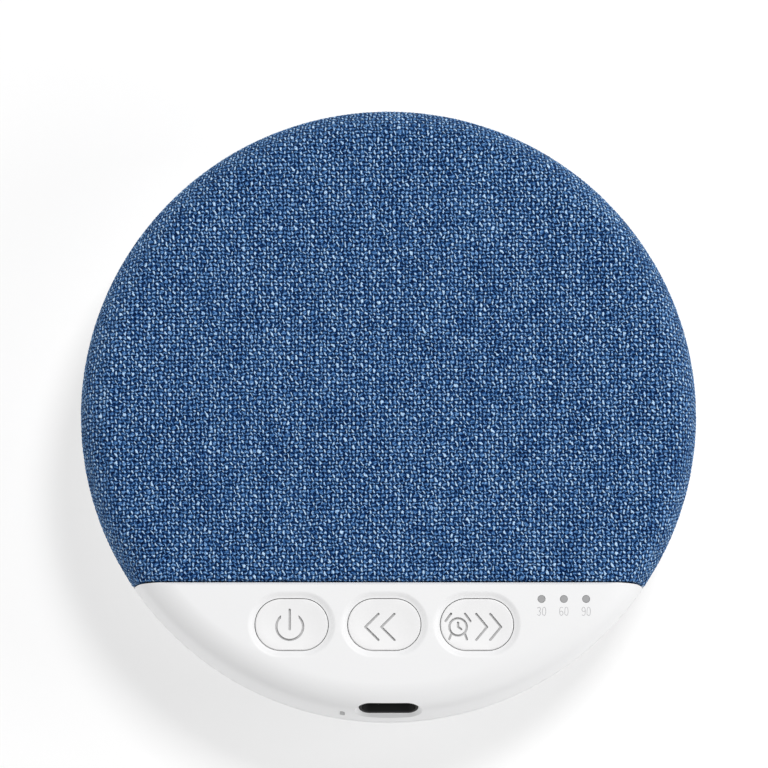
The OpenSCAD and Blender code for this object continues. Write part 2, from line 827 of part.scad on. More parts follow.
module usb_tongue() {
  inner_w = usb_w - 2 * usb_wall - 2 * glue_gap;
  inner_h = usb_h - 2 * usb_wall - 2 * glue_gap;
  base_l = 1.8;
  tongue_w = 6.7;
  tongue_t = 0.7;
  tongue_set = 1;
  color([0.1, 0.1, 0.1]) translate([0, usb_mouth_y + usb_len, usb_z]) rotate([90, 0, 0]) {
    linear_extrude(base_l) stadium(inner_w, inner_h);
    linear_extrude(usb_len - tongue_set) square([tongue_w, tongue_t], center = true);
  }
}

module usb_collar() {
  room = usb_gap - glue_gap;
  color([0.1, 0.1, 0.1]) intersection() {
    translate([0, usb_face_y, usb_z]) rotate([90 - usb_tilt, 0, 0])
      translate([0, 0, -collar_set - far / 2]) cube(far, center = true);
    translate([0, usb_mouth_y - glue_gap, usb_z]) rotate([90, 0, 0]) linear_extrude(far) difference() {
      stadium(usb_w + 2 * room, usb_h + 2 * room);
      stadium(usb_w - 2 * usb_wall, usb_h - 2 * usb_wall);
    }
  }
}

module main_chip() {
  color([0.15, 0.15, 0.15]) block(main_chip_place, main_chip_size, board_z0 - main_chip_h, board_z0);
}

module amplifier_chip() {
  color([0.15, 0.15, 0.15]) block(amplifier_place, amplifier_size, board_z0 - amplifier_h, board_z0);
}

module capacitors() {
  color("goldenrod") for (x = capacitor_xs)
    block([x, capacitor_y], capacitor_size, board_z0 - capacitor_h, board_z0);
}

module battery_connector() {
  color("ivory") block(battery_connector_place, [connector_size[1], connector_size[0]],
    board_z0 - connector_h, board_z0);
}

module speaker_connector() {
  color("ivory") block(speaker_connector_place, connector_size, board_z0 - connector_h, board_z0);
}

module battery_cell() {
  edge = 1.2;
  color("lightgray") translate([0, battery_y, battery_z]) rotate([90, 0, 90])
    linear_extrude(battery_l, center = true) {
      translate([-battery_w / 2 + edge, 0]) square([battery_w - 2 * edge, battery_t]);
      translate([-battery_w / 2, edge]) square([battery_w, battery_t - 2 * edge]);
      for (side = [-1, 1], z = [edge, battery_t - edge])
        translate([side * (battery_w / 2 - edge), z]) circle(edge);
    }
}

module battery_pad() {
  color("black") block([0, battery_y], [battery_l - 2 * pad_inset, battery_w - 2 * pad_inset],
    floor_z, battery_z);
}

module battery_lead(y) {
  wire([for (p = battery_wire) [p[0], y, p[1]]], [0, 1, 0]);
}
module battery_lead_plus() color("red") battery_lead(battery_wire_ys[0]);
module battery_lead_minus() color([0.1, 0.1, 0.1]) battery_lead(battery_wire_ys[1]);

module speaker_lead(x) {
  wire([for (p = speaker_wire) [x, p[0], p[1]]], [1, 0, 0]);
}
module speaker_lead_plus() color("red") speaker_lead(speaker_wire_xs[0]);
module speaker_lead_minus() color([0.1, 0.1, 0.1]) speaker_lead(speaker_wire_xs[1]);

// Round piece of the loudspeaker, from its half section
module driver_turned() {
  translate([0, driver_y, 0]) rotate_extrude() children();
}

module driver_basket() {
  slope = (under_z - basket_z) / (wall_top_r - wall_r);
  lift = sheet_t * sqrt(1 + slope * slope);
  lip_r = surround_r - 1.3;
  hole_r = plate_hole_r + 1;
  color("gray") difference() {
    driver_turned() polygon([[hole_r, basket_z], [wall_r, basket_z], [wall_top_r, under_z],
      [flange_r, under_z], [flange_r, flange_z1], [lip_r, flange_z1],
      [lip_r, basket_z + slope * (lip_r - wall_r) + lift], [wall_r, ledge_z],
      [ledge_r, ledge_z], [ledge_r, basket_z + sheet_t], [hole_r, basket_z + sheet_t]]);
    for (a = driver_angles)
      post(driver_place(a), small_screw_d / 2 + screw_gap, under_z - cut, flange_z1 + cut);
  }
}

module driver_yoke() {
  color("silver") driver_turned() {
    translate([0, yoke_z]) square([magnet_r - plate_step, plate_t]);
    translate([0, yoke_z]) square([pole_r, basket_z - yoke_z]);
  }
}

module driver_magnet() {
  hole_r = plate_hole_r + 1.2;
  color([0.2, 0.2, 0.2]) driver_turned() translate([hole_r, magnet_z])
    square([magnet_r - hole_r, magnet_h]);
}

module driver_top_plate() {
  color("silver") driver_turned() translate([plate_hole_r, plate_z])
    square([magnet_r - plate_step - plate_hole_r, plate_t]);
}

module driver_gasket() {
  r0 = surround_r + driver_gap;
  r1 = flange_r - driver_gap;
  color([0.1, 0.1, 0.1]) difference() {
    driver_turned() translate([r0, flange_z1]) square([r1 - r0, gasket_t]);
    for (a = driver_angles)
      post(driver_place(a), small_screw_d / 2 + screw_gap, flange_z1 - cut, baffle_z0 + cut);
  }
}

module driver_screws() {
  color("silver") for (a = driver_angles)
    screw(driver_place(a), small_screw_d, driver_screw_l, small_head_d, small_head_h, under_z);
}

module driver_terminals() {
  color("tan") block([0, terminal_y], terminal_size, terminal_z, under_z);
}

module surround() {
  color([0.12, 0.12, 0.12]) driver_turned() translate([0, flange_z1]) {
    intersection() {
      translate([roll_r, 0]) difference() {
        circle(roll_out);
        circle(roll_out - paper_t);
      }
      translate([roll_r - roll_out, 0]) square([2 * roll_out, roll_out]);
    }
    translate([cone_r - rim_w, 0]) square([roll_r - roll_out + paper_t - cone_r + rim_w, paper_t]);
    translate([roll_r + roll_out - paper_t, 0])
      square([surround_r - roll_r - roll_out + paper_t, paper_t]);
  }
}

module spider() {
  waves = 5;
  start = throat_r + glue_gap + spider_t / 2;
  end = ledge_r;
  wave = (end - start) / waves;
  bend = (wave + spider_t) / 2;
  color("goldenrod") driver_turned() translate([0, spider_z]) {
    for (i = [0:waves - 1]) translate([start + (i + 0.5) * wave, 0]) intersection() {
      difference() {
        circle(bend);
        circle(bend - spider_t);
      }
      translate([-bend, i % 2 == 0 ? -bend : 0]) square([2 * bend, bend]);
    }
    translate([end - spider_t / 2, ledge_z - spider_z]) square([spider_t, spider_z - ledge_z]);
    translate([end - spider_t / 2, ledge_z - spider_z])
      square([wall_r - driver_gap - end, spider_t]);
  }
}

module cone() {
  rim_r = cone_r - rim_w;
  color([0.15, 0.15, 0.15]) driver_turned() polygon([[throat_r, throat_z], [rim_r, rim_z], [cone_r, rim_z],
    [cone_r, rim_z + paper_t], [rim_r, rim_z + paper_t], [throat_r, throat_z + paper_t]]);
}

module dust_cap() {
  cap_r = throat_r + 0.5;
  cap_h = 2.2;
  dome_r = (cap_r * cap_r + cap_h * cap_h) / (2 * cap_h);
  base_z = throat_z + paper_t + 0.3;
  color([0.12, 0.12, 0.12]) driver_turned() translate([0, base_z]) intersection() {
    translate([0, cap_h - dome_r]) difference() {
      circle(dome_r);
      circle(dome_r - paper_t);
    }
    square([cap_r, cap_h]);
  }
}

module voice_coil() {
  foot_z = plate_z - cone_travel - tip_gap / 4;
  color("sienna") driver_turned() translate([coil_r, foot_z])
    square([coil_t, throat_z + paper_t - foot_z]);
}

rear_shell();
front_shell();
grille_panel();
fabric_cover();
rubber_ring();
case_screws();
power_button();
previous_button();
next_button();
power_plunger();
previous_plunger();
next_plunger();
power_switch();
previous_switch();
next_switch();
timer_light_guide();
timer_lamps();
charge_light_pipe();
charge_lamp();
circuit_board();
board_screws();
usb_shell();
usb_tongue();
usb_collar();
main_chip();
amplifier_chip();
capacitors();
battery_connector();
speaker_connector();
battery_cell();
battery_pad();
battery_lead_plus();
battery_lead_minus();
speaker_lead_plus();
speaker_lead_minus();
driver_basket();
driver_yoke();
driver_magnet();
driver_top_plate();
driver_gasket();
driver_screws();
driver_terminals();
surround();
spider();
cone();
dust_cap();
voice_coil();
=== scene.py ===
"""Looks for the round pillow speaker: woven cloth front, white moulded case, buttons, lamps and socket.

Lengths are in metres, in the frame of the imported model: +Z points out of the cloth, -Y to the socket.
"""
import json
import math

import bmesh
import bpy
import numpy as np
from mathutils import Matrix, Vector
from mathutils.bvhtree import BVHTree


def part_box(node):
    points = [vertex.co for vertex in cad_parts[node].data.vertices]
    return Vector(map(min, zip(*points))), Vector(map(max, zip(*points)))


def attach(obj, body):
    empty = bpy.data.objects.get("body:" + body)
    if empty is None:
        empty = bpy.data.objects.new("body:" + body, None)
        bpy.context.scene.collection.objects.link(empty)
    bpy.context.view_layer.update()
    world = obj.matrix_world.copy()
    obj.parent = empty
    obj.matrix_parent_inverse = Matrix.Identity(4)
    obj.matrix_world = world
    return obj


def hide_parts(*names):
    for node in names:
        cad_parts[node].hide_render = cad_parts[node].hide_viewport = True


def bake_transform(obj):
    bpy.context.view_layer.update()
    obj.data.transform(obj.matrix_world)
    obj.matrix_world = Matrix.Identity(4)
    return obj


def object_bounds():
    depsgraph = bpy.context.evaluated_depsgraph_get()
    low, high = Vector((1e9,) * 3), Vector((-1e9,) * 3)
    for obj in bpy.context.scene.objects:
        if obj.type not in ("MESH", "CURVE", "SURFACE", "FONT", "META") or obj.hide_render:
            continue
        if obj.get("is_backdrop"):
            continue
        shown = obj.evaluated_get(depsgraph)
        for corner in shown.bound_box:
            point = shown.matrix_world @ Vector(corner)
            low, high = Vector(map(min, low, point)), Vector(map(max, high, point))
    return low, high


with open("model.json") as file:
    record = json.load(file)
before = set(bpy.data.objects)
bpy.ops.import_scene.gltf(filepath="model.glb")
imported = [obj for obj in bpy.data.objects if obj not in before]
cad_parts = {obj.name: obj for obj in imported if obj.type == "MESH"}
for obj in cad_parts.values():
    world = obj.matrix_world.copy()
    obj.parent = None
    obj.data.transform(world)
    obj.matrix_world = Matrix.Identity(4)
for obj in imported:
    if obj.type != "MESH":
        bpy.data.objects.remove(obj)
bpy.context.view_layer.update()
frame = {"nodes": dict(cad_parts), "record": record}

MM = 0.001
SEED = 7

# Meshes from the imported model: corners this close become one, edges bent further than this stay sharp, and
# large flats steer the shading by this much
WELD = 0.002 * MM
SHARP_ANGLE = math.radians(28)
FLAT_WEIGHT = 100

# Front of the case, as in the part's source
BODY_R = 47.5 * MM
FRONT_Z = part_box("fabric_cover")[1].z
FRONT_DEPTH = 8.5 * MM
SIDE_R = 20 * MM
CORNER_R = 4.5 * MM
SEAM_GAP = 0.25 * MM
LINE_Y = -26.9 * MM
LINE_GAP = 0.3 * MM

# The side arc runs into the corner arc at TURN above the level of the widest circle
CORNER_RISE = FRONT_DEPTH - CORNER_R
CORNER_SHIFT = math.sqrt((SIDE_R - CORNER_R) ** 2 - CORNER_RISE ** 2)
TURN = math.atan2(CORNER_RISE, CORNER_SHIFT)
FLAT_R = BODY_R - SIDE_R + CORNER_SHIFT
CORNER_ARC = CORNER_R * (math.pi / 2 - TURN)
SEAM_ANGLE = math.asin(SEAM_GAP / SIDE_R)

# Engraved signs, whose floor gets painted shade: depth of their floor below a button's rim, and the share of
# the button that they cover
SIGN_FLOOR = 0.52 * MM
SIGN_FLOOR_NEAR = 0.02 * MM
SIGN_REACH = 0.8

# Rings in sectors: width of the outer rim that the basket holds, and of the inner lap that is glued to the cone
RING_SECTORS = 16
CUT_NEAR = 1e-7
FLEXING_RINGS = {"surround": (0.9 * MM, 1.3 * MM), "spider": (1.7 * MM, 0.4 * MM)}

# Weave, counted in yarns: lumps and reach of their wandering, width and swing of a yarn, and slant of a crown
YARN_PITCH = 0.63 * MM
DRIFT_SCALE = 0.45
DRIFT_REACH = 1.9
UPRIGHT_WIDTH = 0.58
LEVEL_WIDTH = 0.75
YARN_SWING = 0.95
CROWN_SLANT = 0.3

# Fibres, streaks of whole yarns and soft patches: their size, and how they stretch along a yarn and lean
FIBRE_SIZE, FIBRE_STRETCH, FIBRE_LEAN = 0.16 * MM, 0.4, math.radians(25)
STREAK_SIZE, STREAK_STRETCH = 1.2 * MM, 0.06
PATCH_SIZE = 6 * MM

# Tones of the weave, 0 navy to 1 pale, where the navy is painted shade between the yarns: the heights between
# which a frayed crown comes out of the painted navy shade, least and spread of each kind of crown, then how
# much fibres, streaks and patches add, and what is taken off again
CROWN_FRAY, CROWN_FROM, CROWN_TO = 1.6, 0.35, 1.5
UPRIGHT_TONE, UPRIGHT_SPREAD = 0.62, 0.45
LEVEL_TONE, LEVEL_SPREAD = 0.42, 0.14
FIBRE_SHARE, FIBRE_OFF = 1.8, 0.85
STREAK_SHARE, STREAK_OFF = 0.3, 0.15
PATCH_SHARE, PATCH_OFF = 0.24, 0.12
CLOTH_COLOURS = [
    (0.0, (0.0002, 0.0095, 0.063)), (0.12, (0.003, 0.031, 0.131)), (0.27, (0.0153, 0.071, 0.225)),
    (0.45, (0.045, 0.144, 0.366)), (0.63, (0.114, 0.271, 0.550)), (0.8, (0.245, 0.45, 0.77)),
    (0.95, (0.54, 0.75, 0.98))]
CLOTH_BUMP = 0.2 * MM
CLOTH_ROUGHNESS, ROUGHNESS_SPREAD = 0.72, 0.2
SHEEN_TINT = (0.35, 0.62, 1.0, 1.0)

# Sheet of cloth: grid of its mesh and how it meets its edges, lift and slubs of its yarns, and the hem that
# rolls in by a quarter turn, in steps
CLOTH_STEP = YARN_PITCH / 2
EDGE_SNAP = 0.3 * CLOTH_STEP
EDGE_ROUNDS = 4
EDGE_NEAR = 0.02 * MM
YARN_RELIEF = 0.085 * MM
YARN_SLUB = 0.9
SLUB_SCALE = 700.0
HEM_ROLL = 0.4 * MM
HEM_DEPTH = 1.2 * MM
HEM_STEPS = (0.25, 0.5, 0.75, 1.0, 2.0)


# Node trees

def add_node(tree, kind, values=None, **settings):
    """Adds a node, with its settings and the values or links of its inputs."""
    node = tree.nodes.new(kind)
    for name, value in settings.items():
        setattr(node, name, value)
    for key, value in (values or {}).items():
        if isinstance(value, bpy.types.NodeSocket):
            tree.links.new(value, node.inputs[key])
        else:
            node.inputs[key].default_value = value
    return node


def math_node(tree, operation, a, b=0.0, c=0.0):
    """One number worked out from up to three others."""
    node = add_node(tree, "ShaderNodeMath", {0: a, 1: b, 2: c}, operation=operation)
    return node.outputs[0]


def vector_node(tree, operation, a, b):
    """One vector worked out from two, or from a vector and the number that scales it."""
    other = "Scale" if operation == "SCALE" else 1
    return add_node(tree, "ShaderNodeVectorMath", {0: a, other: b}, operation=operation).outputs[0]


def ramp_node(tree, factor, stops):
    """Colour picked along a list of (place, colour)."""
    node = add_node(tree, "ShaderNodeValToRGB", {"Fac": factor})
    ramp = node.color_ramp
    while len(ramp.elements) < len(stops):
        ramp.elements.new(1.0)
    for element, (place, colour) in zip(ramp.elements, stops):
        element.position = place
        element.color = (*colour, 1.0)
    return node.outputs["Color"]


def new_material(name):
    """Empty material with a surface shader, as (material, tree, shader)."""
    material = bpy.data.materials.new(name)
    material.use_nodes = True
    tree = material.node_tree
    return material, tree, tree.nodes["Principled BSDF"]


def object_place(tree):
    """Object coordinates of a material."""
    return add_node(tree, "ShaderNodeTexCoord").outputs["Object"]


def noise_node(tree, place, size, detail=3.0, stretch=(1, 1, 1), lean=0.0):
    """Soft noise whose lumps are about the size given, longer where the stretch is small, and may lean."""
    lump = tuple(size / k for k in stretch)
    mapping = add_node(tree, "ShaderNodeMapping", {"Vector": place, "Scale": lump, "Rotation": (0, 0, lean)},
                       vector_type="TEXTURE")
    node = add_node(tree, "ShaderNodeTexNoise",
                    {"Vector": mapping.outputs[0], "Scale": 1.0, "Detail": detail, "Roughness": 0.55})
    return node.outputs["Fac"]


# Materials

# Solid finishes: soft clouds over the grain, where shade and full colour stand in it, and what the grain does
CLOUD_SIZE = 12 * MM
SHADE_STOP, COLOUR_STOP = 0.3, 0.7
ROUGH_SPREAD = 0.16
GRAIN_STRENGTH = 0.6


def moulded(name, colour, roughness, grain, depth, shade, metallic=0.0, specular=0.5, stretch=(1, 1, 1),
            painted_groove_shade=None):
    """Solid finish whose grain, with its size and depth in millimetres, roughens, dents and shades it.

    Painted shade may darken the floor of engraved grooves too.
    """
    material, tree, shader = new_material(name)
    place = object_place(tree)
    grain_noise = noise_node(tree, place, grain * MM, 4.0, stretch)
    cloud = noise_node(tree, place, CLOUD_SIZE, 2.0)
    shaded = tuple(c * shade for c in colour)
    tint = math_node(tree, "MULTIPLY_ADD", grain_noise, 0.5, math_node(tree, "MULTIPLY", cloud, 0.5))
    stops = [(SHADE_STOP, shaded), (COLOUR_STOP, colour)]
    # Painted shade: the colour goes darker on the floor of engraved grooves, where shadow falls in them
    if painted_groove_shade:
        painted_shade_in_grooves = add_node(tree, "ShaderNodeAttribute", attribute_name="painted_shade_in_grooves").outputs["Fac"]
        tint = math_node(tree, "MULTIPLY", tint, math_node(tree, "SUBTRACT", 1.0, painted_shade_in_grooves))
        stops = [(0.0, tuple(c * painted_groove_shade for c in colour))] + stops
    tree.links.new(ramp_node(tree, tint, stops), shader.inputs["Base Color"])
    rough = math_node(tree, "MULTIPLY_ADD", grain_noise, ROUGH_SPREAD, roughness - ROUGH_SPREAD / 2)
    tree.links.new(rough, shader.inputs["Roughness"])
    bump = add_node(tree, "ShaderNodeBump", {
        "Height": grain_noise, "Strength": GRAIN_STRENGTH, "Distance": depth * MM})
    tree.links.new(bump.outputs[0], shader.inputs["Normal"])
    shader.inputs["Metallic"].default_value = metallic
    shader.inputs["Specular IOR Level"].default_value = specular
    return material


def yarn_cells(tree, weave, yarns_per_metre):
    """Places on the cloth counted in yarns, which wander so that no two crowns look the same."""
    counted = vector_node(tree, "SCALE", weave, yarns_per_metre)
    drift = add_node(tree, "ShaderNodeTexNoise", {"Vector": counted, "Scale": DRIFT_SCALE, "Detail": 3.0})
    shift = vector_node(tree, "ADD", drift.outputs["Color"], (-0.5, -0.5, -0.5))
    shift = vector_node(tree, "MULTIPLY", shift, (DRIFT_REACH, DRIFT_REACH, 0))
    return vector_node(tree, "ADD", counted, shift)


def yarn_height(tree, along, across, start, width, slant=0.0):
    """Height of a yarn, 1 on its crowns: it swings over and under, and its round section slants on a crown."""
    turns = math_node(tree, "ADD", along, start)
    wave = math_node(tree, "COSINE", math_node(tree, "MULTIPLY", turns, math.pi))
    from_crown = math_node(tree, "WRAP", turns, 1.0, -1.0)
    side = math_node(tree, "DIVIDE", math_node(tree, "MULTIPLY_ADD", from_crown, slant, across), 0.5 * width)
    section = math_node(tree, "SUBTRACT", 1 - YARN_SWING, math_node(tree, "MULTIPLY", side, side))
    return math_node(tree, "MULTIPLY_ADD", wave, YARN_SWING, section)


def pick(tree, choice, yes, no):
    """One of two numbers: the first where the choice is 1, the second where it is 0."""
    return math_node(tree, "MULTIPLY_ADD", choice, math_node(tree, "SUBTRACT", yes, no), no)


def crown_tint(tree, x, y):
    """Random number that one crown keeps to its ends."""
    own = add_node(tree, "ShaderNodeCombineXYZ", {0: x, 1: y}).outputs[0]
    return add_node(tree, "ShaderNodeTexWhiteNoise", {"Vector": own}, noise_dimensions="2D").outputs["Value"]


def half_down(tree, a, b):
    """Half the sum of two numbers, rounded down."""
    return math_node(tree, "FLOOR", math_node(tree, "MULTIPLY", math_node(tree, "ADD", a, b), 0.5))


def melange_cloth():
    """Plain weave of melange yarns: the upright yarns light, the level ones darker, painted navy shade between
    them.
    """
    material, tree, shader = new_material("blue_melange_cloth")
    weave = add_node(tree, "ShaderNodeUVMap", uv_map="weave").outputs[0]
    cells = yarn_cells(tree, weave, 1 / YARN_PITCH)
    place = add_node(tree, "ShaderNodeSeparateXYZ", {0: cells}).outputs
    index = [math_node(tree, "FLOOR", place[k]) for k in (0, 1)]
    beside = [math_node(tree, "SUBTRACT", math_node(tree, "FRACT", place[k]), 0.5) for k in (0, 1)]
    upright_start = math_node(tree, "ADD", index[0], 0.5)
    level_start = math_node(tree, "SUBTRACT", index[1], 0.5)
    upright = yarn_height(tree, place[1], beside[0], upright_start, UPRIGHT_WIDTH, CROWN_SLANT)
    level = yarn_height(tree, place[0], beside[1], level_start, LEVEL_WIDTH)
    height = math_node(tree, "MAXIMUM", upright, level)
    on_top = math_node(tree, "GREATER_THAN", upright, level)

    # Tints: the crown's own, fibres along its yarn, streaks of whole yarns and soft patches
    upright_tint = crown_tint(tree, index[0], half_down(tree, place[1], index[0]))
    level_tint = crown_tint(tree, half_down(tree, place[0], index[1]), index[1])
    light = pick(tree, on_top, math_node(tree, "MULTIPLY_ADD", upright_tint, UPRIGHT_SPREAD, UPRIGHT_TONE),
                 math_node(tree, "MULTIPLY_ADD", level_tint, LEVEL_SPREAD, LEVEL_TONE))
    fibre = pick(tree, on_top, noise_node(tree, weave, FIBRE_SIZE, 2.0, (1, FIBRE_STRETCH, 1), FIBRE_LEAN),
                 noise_node(tree, weave, FIBRE_SIZE, 2.0, (FIBRE_STRETCH, 1, 1), FIBRE_LEAN))
    streak = noise_node(tree, weave, STREAK_SIZE, 3.0, (1, STREAK_STRETCH, 1))
    patch = noise_node(tree, weave, PATCH_SIZE, 2.0)
    # Painted shade: the tone falls to navy where the yarns dip low between their crowns
    frayed = math_node(tree, "MULTIPLY_ADD", fibre, CROWN_FRAY, height)
    crown = add_node(tree, "ShaderNodeMapRange", {
        "Value": frayed, "From Min": CROWN_FROM, "From Max": CROWN_TO},
                     interpolation_type="SMOOTHSTEP").outputs[0]
    tone = math_node(tree, "MULTIPLY", crown, light)
    for noise, share, off in ((fibre, FIBRE_SHARE, FIBRE_OFF), (streak, STREAK_SHARE, STREAK_OFF),
                              (patch, PATCH_SHARE, PATCH_OFF)):
        tone = math_node(tree, "MULTIPLY_ADD", noise, share, math_node(tree, "SUBTRACT", tone, off))
    tree.links.new(ramp_node(tree, tone, CLOTH_COLOURS), shader.inputs["Base Color"])

    relief = math_node(tree, "MULTIPLY_ADD", fibre, 0.5, height)
    bump = add_node(tree, "ShaderNodeBump", {"Height": relief, "Strength": 1.0, "Distance": CLOTH_BUMP})
    tree.links.new(bump.outputs[0], shader.inputs["Normal"])
    rough = math_node(tree, "MULTIPLY_ADD", fibre, ROUGHNESS_SPREAD, CLOTH_ROUGHNESS)
    tree.links.new(rough, shader.inputs["Roughness"])
    shader.inputs["Sheen Weight"].default_value = 0.2
    shader.inputs["Sheen Roughness"].default_value = 0.3
    shader.inputs["Sheen Tint"].default_value = SHEEN_TINT
    shader.inputs["Specular IOR Level"].default_value = 0.05
    return material


# Finish of each slot: its name, colour, roughness, size, depth and shade of its grain
FINISHES = {
    "white_shell": moulded("white_matte_plastic", (0.83, 0.83, 0.835), 0.48, 0.3, 0.003, 0.985),
    # Buttons: painted shade on the floor of their engraved signs
    "white_button": moulded("white_satin_plastic", (0.83, 0.827, 0.83), 0.42, 0.3, 0.002, 0.985,
                            painted_groove_shade=0.66),
    "black_plastic": moulded("black_plastic", (0.012, 0.012, 0.013), 0.5, 0.3, 0.006, 0.7),
    "grey_rubber": moulded("grey_rubber", (0.11, 0.11, 0.115), 0.72, 0.35, 0.012, 0.82, specular=0.3),
    "screw_steel": moulded("zinc_plated_steel", (0.58, 0.58, 0.57), 0.34, 0.2, 0.003, 0.85, metallic=1.0),
    "switch_steel": moulded("pressed_steel", (0.62, 0.62, 0.61), 0.3, 0.15, 0.002, 0.88, metallic=1.0),
    "black_plating": moulded("black_plated_steel", (0.006, 0.006, 0.007), 0.42, 0.2, 0.002, 0.7),
    "light_guide": moulded("smoky_light_guide", (0.36, 0.36, 0.365), 0.38, 0.4, 0.002, 0.93),
    "lamp": moulded("cast_lamp", (0.75, 0.74, 0.55), 0.2, 0.4, 0.002, 0.9),
    "board_green": moulded("solder_mask", (0.008, 0.085, 0.03), 0.32, 0.8, 0.006, 0.6),
    "chip_black": moulded("chip_epoxy", (0.015, 0.015, 0.016), 0.6, 0.12, 0.004, 0.75),
    "connector_ivory": moulded("ivory_nylon", (0.7, 0.65, 0.52), 0.5, 0.3, 0.004, 0.92),
    "capacitor_tan": moulded("fired_ceramic", (0.27, 0.15, 0.055), 0.45, 0.2, 0.004, 0.8),
    "cell_foil": moulded("cell_foil", (0.5, 0.51, 0.53), 0.4, 0.6, 0.02, 0.9, metallic=0.7),
    "foam": moulded("black_foam", (0.012, 0.012, 0.012), 0.92, 0.35, 0.08, 0.35, specular=0.15),
    "lead_red": moulded("red_lead", (0.36, 0.008, 0.006), 0.5, 0.3, 0.006, 0.85),
    "lead_black": moulded("black_lead", (0.012, 0.012, 0.012), 0.5, 0.3, 0.006, 0.75),
    "plated_steel": moulded("plated_sheet_steel", (0.45, 0.46, 0.48), 0.36, 0.25, 0.004, 0.85, metallic=1.0,
                            stretch=(0.15, 1, 1)),
    "ferrite": moulded("ground_ferrite", (0.022, 0.022, 0.024), 0.62, 0.2, 0.01, 0.6),
    "terminal_tan": moulded("pressed_board", (0.32, 0.19, 0.08), 0.75, 0.3, 0.015, 0.8),
    "black_rubber": moulded("black_rubber", (0.012, 0.012, 0.012), 0.6, 0.3, 0.006, 0.7, specular=0.35),
    "spider_fibre": moulded("stiffened_spider_fibre", (0.47, 0.26, 0.05), 0.8, 0.22, 0.03, 0.6),
    "cone_paper": moulded("pressed_cone_paper", (0.014, 0.014, 0.014), 0.85, 0.5, 0.03, 0.5),
    "coil_copper": moulded("enamelled_copper", (0.5, 0.15, 0.05), 0.3, 0.12, 0.01, 0.6, metallic=1.0,
                           stretch=(0.1, 0.1, 1)),
}
CLOTH = melange_cloth()


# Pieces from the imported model

def mesh_object(name, mesh, body):
    """Puts a mesh into the scene as a piece that rides on a body."""
    piece = bpy.data.objects.new(name, mesh)
    bpy.context.scene.collection.objects.link(piece)
    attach(piece, body)
    return piece


def merged_build(node):
    """Editable copy of a node's mesh whose faces share their corners."""
    mesh = frame["nodes"][node].data.copy()
    stored_normals = mesh.attributes.get("custom_normal")
    if stored_normals:
        mesh.attributes.remove(stored_normals)
    build = bmesh.new()
    build.from_mesh(mesh)
    bmesh.ops.remove_doubles(build, verts=build.verts, dist=WELD)
    return build


def smooth_mesh(name, build, slot):
    """Mesh in a slot's finish that shades smoothly across its curves."""
    mesh = bpy.data.meshes.new(name)
    build.to_mesh(mesh)
    build.free()
    mesh.materials.append(FINISHES[slot])
    mesh.polygons.foreach_set("material_index", [0] * len(mesh.polygons))
    mesh.shade_smooth()
    mesh.set_sharp_from_angle(angle=SHARP_ANGLE)
    return mesh


def smooth_copy(node, slot, body):
    """Smooth copy of a node that stands for it."""
    draft = bpy.data.objects.new(node + "_draft", smooth_mesh(node, merged_build(node), slot))
    bpy.context.scene.collection.objects.link(draft)
    weights = draft.modifiers.new("even_flats", "WEIGHTED_NORMAL")
    weights.keep_sharp = True
    weights.weight = FLAT_WEIGHT
    piece = mesh_object(node + "_piece", baked_mesh(draft), body)
    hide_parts(node)
    return piece


def baked_mesh(draft):
    """Plain mesh of an object with its modifiers applied. The object is removed."""
    graph = bpy.context.evaluated_depsgraph_get()
    mesh = bpy.data.meshes.new_from_object(draft.evaluated_get(graph), preserve_all_data_layers=True,
                                           depsgraph=graph)
    bpy.data.objects.remove(draft)
    return mesh


def mark_painted_groove_shade(piece, node):
    """Marks the floor of the sign that is engraved in a button's top, where its colour gets painted shade."""
    low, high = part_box(node)
    middle, half = (low + high) / 2, (high - low) / 2
    mark = piece.data.attributes.new("painted_shade_in_grooves", "FLOAT", "POINT")
    for vert, value in zip(piece.data.vertices, mark.data):
        reach = max(abs(vert.co.x - middle.x) / half.x, abs(vert.co.y - middle.y) / half.y)
        off_floor = abs(high.z - vert.co.z - SIGN_FLOOR)
        value.value = float(reach < SIGN_REACH and off_floor < SIGN_FLOOR_NEAR)


def flexing_ring(node, slot, rim, lap):
    """Ring cut into sectors, each a piece of its own in place of the node; the rim and lap widths are not used.
    """
    low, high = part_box(node)
    middle = (low + high) / 2
    half_sector = math.pi / RING_SECTORS
    whole = merged_build(node)
    for k in range(RING_SECTORS // 2):
        cut = (2 * k + 1) * half_sector
        bmesh.ops.bisect_plane(whole, geom=[*whole.verts, *whole.edges, *whole.faces], dist=CUT_NEAR,
                               plane_co=middle, plane_no=(-math.sin(cut), math.cos(cut), 0))
    for k in range(RING_SECTORS):
        ray = Vector((math.cos(2 * k * half_sector), math.sin(2 * k * half_sector), 0))
        sector = whole.copy()
        outside = [face for face in sector.faces
                   if (face.calc_center_median() - middle).to_2d().angle(ray.to_2d()) > half_sector]
        bmesh.ops.delete(sector, geom=outside, context="FACES")
        bmesh.ops.holes_fill(sector, edges=[edge for edge in sector.edges if edge.is_boundary], sides=0)
        bmesh.ops.recalc_face_normals(sector, faces=sector.faces)
        name = f"{node}_sector_{k + 1}"
        piece = bpy.data.objects.new(name, smooth_mesh(name, sector, slot))
        bpy.context.scene.collection.objects.link(piece)
        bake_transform(piece)
        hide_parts(node)
    whole.free()


NODE_SLOTS = {part["node"]: part["material_slot"] for part in frame["record"]["subparts"]}
NODE_BODIES = {node: body for body, nodes in frame["record"]["behaviour"]["bodies"].items() for node in nodes}
for node, slot in NODE_SLOTS.items():
    if node in FLEXING_RINGS:
        flexing_ring(node, slot, *FLEXING_RINGS[node])
    elif node != "fabric_cover":
        piece = smooth_copy(node, slot, NODE_BODIES[node])
        # Buttons get painted shade on the floor of their engraved signs
        if slot == "white_button":
            mark_painted_groove_shade(piece, node)


# Cloth

